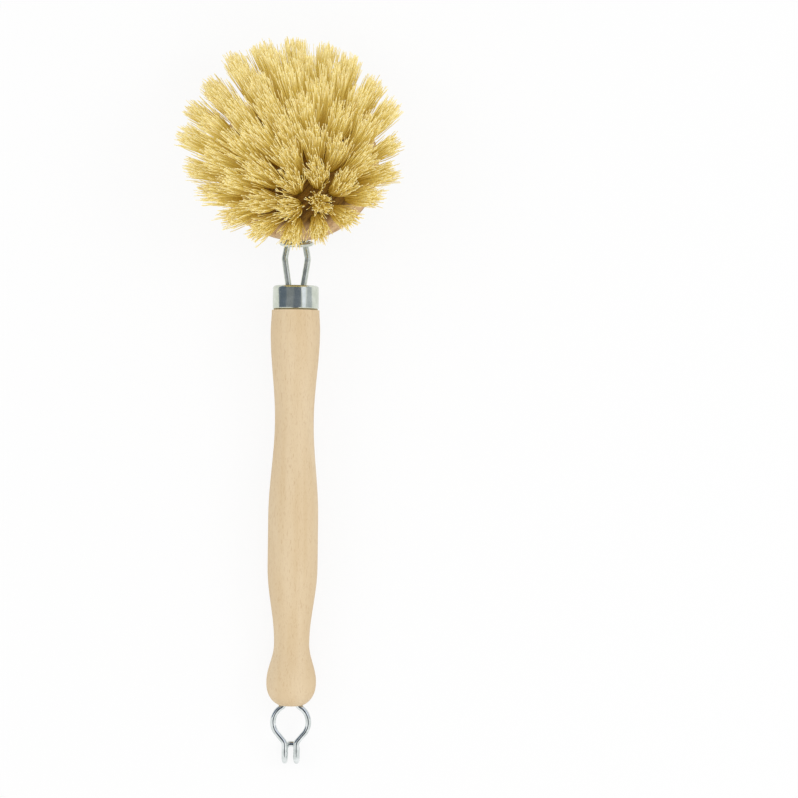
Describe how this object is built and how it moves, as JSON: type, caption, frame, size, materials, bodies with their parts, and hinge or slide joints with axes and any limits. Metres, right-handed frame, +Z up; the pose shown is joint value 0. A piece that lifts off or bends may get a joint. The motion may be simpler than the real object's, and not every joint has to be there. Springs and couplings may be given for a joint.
{
  "type": "dish brush",
  "caption": "Dish brush with a turned beech handle, a replaceable round tufted head held in a spring wire clip with a sliding locking ring, and a wire hanging hook.",
  "frame": {"origin": "on the table under the middle of the brush as it lies on its back, touching with its hook, its ball end and the far edge of its head", "axes": "+Z up, bristles up; +Y from the hanging hook towards the head; +X to the right of someone who looks down with the head at the top"},
  "size_m": [0.073, 0.2397, 0.0481],
  "materials": {
    "beech_handle": "pale turned beech, untreated, with fine lengthwise flecks",
    "beech_head": "warmer beech with straight grain across the disc, untreated",
    "plated_cap": "zinc-plated pressed steel, bright and slightly blurred",
    "plated_wire": "zinc-plated drawn steel wire, bright",
    "plant_fibre": "coarse straw-coloured plant fibre, pale at the cut tips",
    "anchor_wire": "plain flat steel wire"
  },
  "bodies": {
    "handle": {"handle": "beech_handle", "cap": "plated_cap", "head_clip": "plated_wire", "hanging_hook": "plated_wire"},
    "ring": {"locking_ring": "plated_wire"},
    "head": {"head_block": "beech_head", "tuft_centre": "plant_fibre", "tufts_row_1": "plant_fibre", "tufts_row_2": "plant_fibre", "tufts_row_3": "plant_fibre", "tufts_row_4": "plant_fibre", "anchor_centre": "anchor_wire", "anchors_row_1": "anchor_wire", "anchors_row_2": "anchor_wire", "anchors_row_3": "anchor_wire", "anchors_row_4": "anchor_wire"}
  },
  "joints": [
    {"name": "ring_slide", "type": "slide", "parent": "handle", "child": "ring", "axis": [0, -0.9985, -0.0542], "range_m": [0, 0.0118], "deforming": ["head_clip"]},
    {"name": "head_turn", "type": "hinge", "parent": "handle", "child": "head", "pos_m": [0, 0.07776, 0.01039], "axis": [0, 0.2231, 0.9748], "continuous": true}
  ]
}
